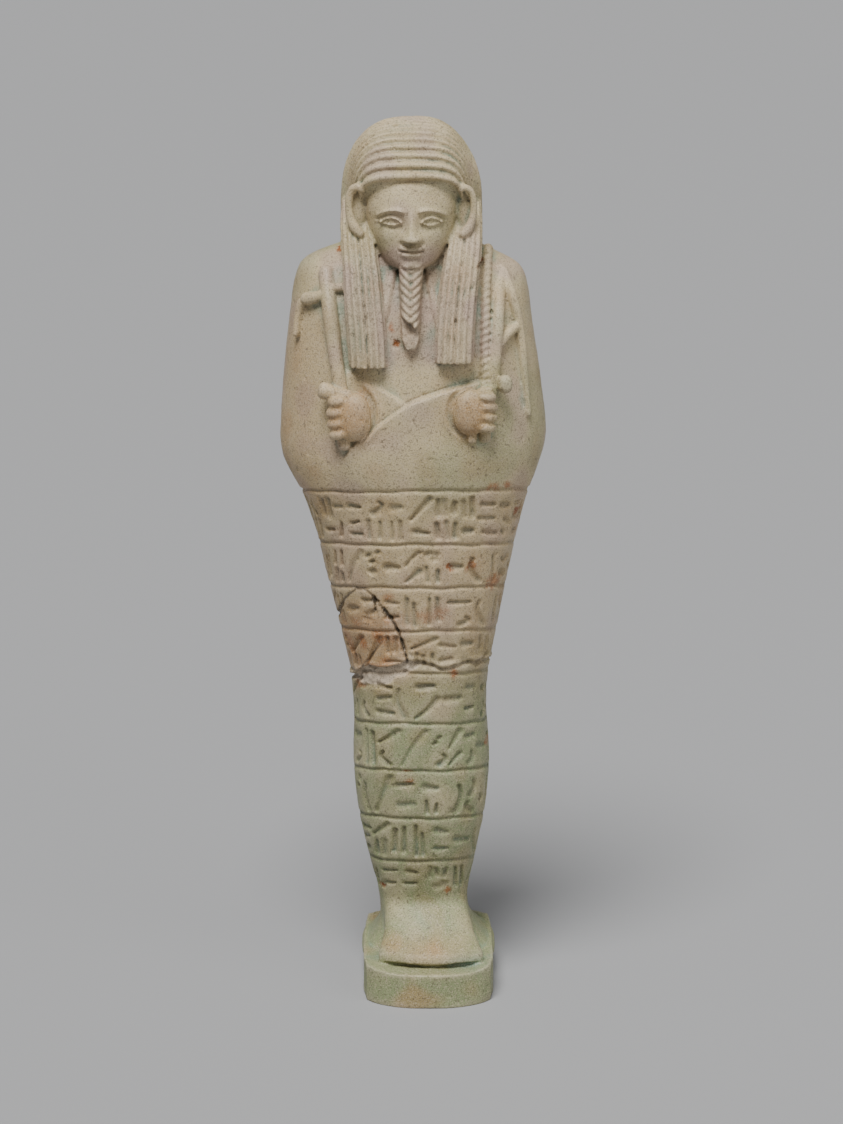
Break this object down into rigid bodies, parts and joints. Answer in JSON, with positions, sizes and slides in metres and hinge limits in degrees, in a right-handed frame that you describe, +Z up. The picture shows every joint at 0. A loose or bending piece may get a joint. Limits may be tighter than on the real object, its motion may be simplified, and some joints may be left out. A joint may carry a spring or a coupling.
{
  "type": "ushabti figurine",
  "caption": "Standing mummy-shaped ushabti of moulded faience: striated wig, braided beard, crossed arms with farm tools, rows of carved strokes, back pillar and flat base.",
  "frame": {"origin": "middle of the base's flat underside", "axes": "+Z up along the figure, -Y the way the figure faces, +X to the figure's left"},
  "size_m": [0.0596, 0.043, 0.2002],
  "materials": {
    "faience": null
  },
  "bodies": {
    "root": {"ushabti_figure": "faience"}
  },
  "joints": []
}
